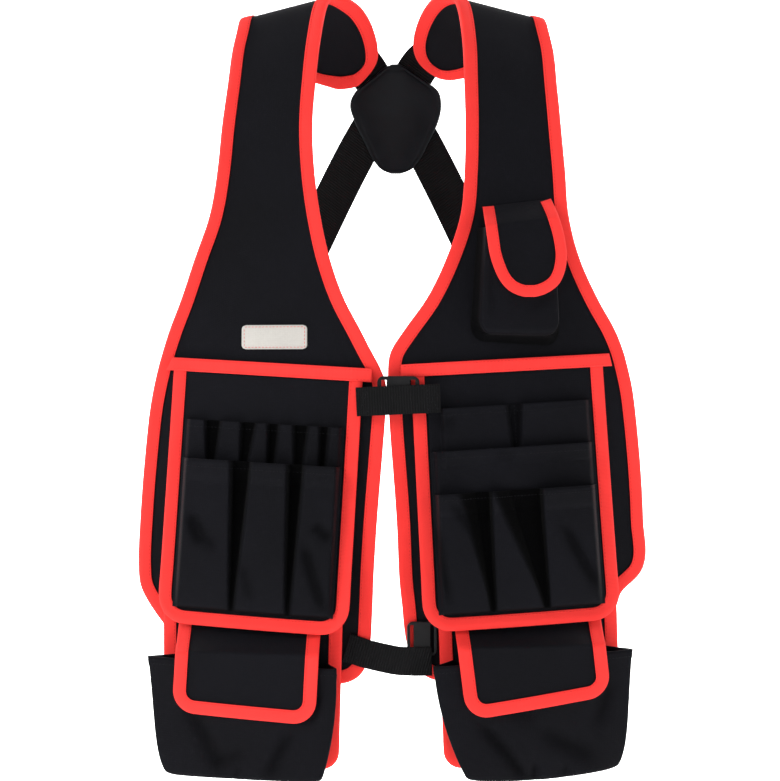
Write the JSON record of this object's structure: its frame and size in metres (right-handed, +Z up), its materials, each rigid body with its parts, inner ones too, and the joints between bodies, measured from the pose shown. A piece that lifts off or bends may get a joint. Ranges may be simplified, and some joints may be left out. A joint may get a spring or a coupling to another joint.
{
  "type": "utility work vest",
  "caption": "Open-sided black cloth tool vest with red tape edges, rows of pockets, flapped pouches and crossed back straps.",
  "frame": {"origin": "midway between the tops of the two shoulder pads, where the vest hangs from the shoulders", "axes": "+Z up, -Y out of the vest's front, +X towards the right of the picture"},
  "size_m": [0.4673, 0.2606, 0.7211],
  "materials": {
    "cloth": "fine weave",
    "tape": "ribbed binding",
    "webbing": "ribbed",
    "leather": "smooth",
    "plastic": "moulded",
    "label": "woven"
  },
  "bodies": {
    "root": {"left_panel": "cloth", "left_panel_binding": "tape", "left_pocket_panel": "cloth", "left_pocket_panel_binding": "tape", "left_top_band": "tape", "left_pouch_back": "cloth", "left_pouch_back_binding": "tape", "left_pouch": "cloth", "left_flap": "cloth", "left_flap_binding": "tape", "right_panel": "cloth", "right_panel_binding": "tape", "right_pocket_panel": "cloth", "right_pocket_panel_binding": "tape", "right_top_band": "tape", "right_pouch_back": "cloth", "right_pouch_back_binding": "tape", "right_pouch": "cloth", "right_flap": "cloth", "right_flap_binding": "tape", "left_slots": "cloth", "left_pockets": "cloth", "right_flat_pockets": "cloth", "right_wide_pocket": "cloth", "right_pockets": "cloth", "phone_pouch": "cloth", "phone_flap": "cloth", "phone_flap_binding": "tape", "chest_label": "label", "back_strap_left": "webbing", "back_strap_right": "webbing", "back_patch": "leather", "upper_closure_buckle": "plastic", "upper_closure_webbing": "webbing", "upper_closure_anchor": "webbing", "lower_closure_buckle": "plastic", "lower_closure_webbing": "webbing"}
  },
  "joints": []
}
